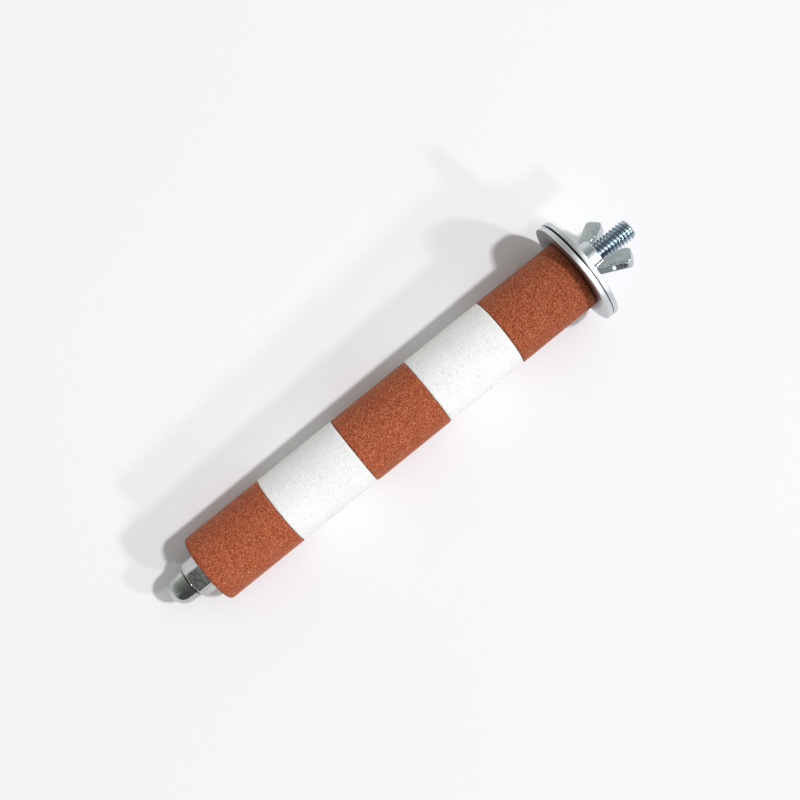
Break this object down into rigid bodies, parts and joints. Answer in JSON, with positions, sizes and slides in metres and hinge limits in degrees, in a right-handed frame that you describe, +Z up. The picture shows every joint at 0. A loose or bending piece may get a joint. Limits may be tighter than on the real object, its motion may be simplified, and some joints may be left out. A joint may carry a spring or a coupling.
{
  "type": "bird perch",
  "caption": "Cage perch of round mineral stones in two colours on a threaded rod, with a domed cap nut and a washer clamp closed by a wing nut.",
  "frame": {"origin": "on the rod's axis, at the inner washer's outer face, where the cage bars are clamped", "axes": "+X along the rod towards the wing nut, +Z up, +Y to the left when looking along +X"},
  "size_m": [0.2108, 0.041, 0.041],
  "materials": {
    "red_stone": "coarse cast mineral, matt terracotta red with a sandy grain",
    "white_stone": "fine cast mineral, matt chalky white",
    "zinc_thread": "bright bluish zinc plating",
    "zinc_washer": "satin zinc plating",
    "cast_wing_nut": "satin plated casting",
    "polished_cap": "polished plating"
  },
  "bodies": {
    "perch": {"threaded_rod": "zinc_thread", "cap_nut": "polished_cap", "red_stone_1": "red_stone", "white_stone_2": "white_stone", "red_stone_3": "red_stone", "white_stone_4": "white_stone", "red_stone_5": "red_stone", "inner_washer": "zinc_washer"},
    "outer_washer": {"outer_washer": "zinc_washer"},
    "wing_nut": {"wing_nut": "cast_wing_nut"}
  },
  "joints": [
    {"name": "clamp_travel", "type": "slide", "parent": "perch", "child": "outer_washer", "axis": [1, 0, 0], "range_m": [0, 0.0141]},
    {"name": "wing_nut_turn", "type": "hinge", "parent": "outer_washer", "child": "wing_nut", "pos_m": [0.0058, 0, 0], "axis": [1, 0, 0], "range_deg": [0, 3600]}
  ],
  "couplings": [
    {"joint": "wing_nut_turn", "follows": "clamp_travel", "rad_per_m": 4452.6}
  ]
}
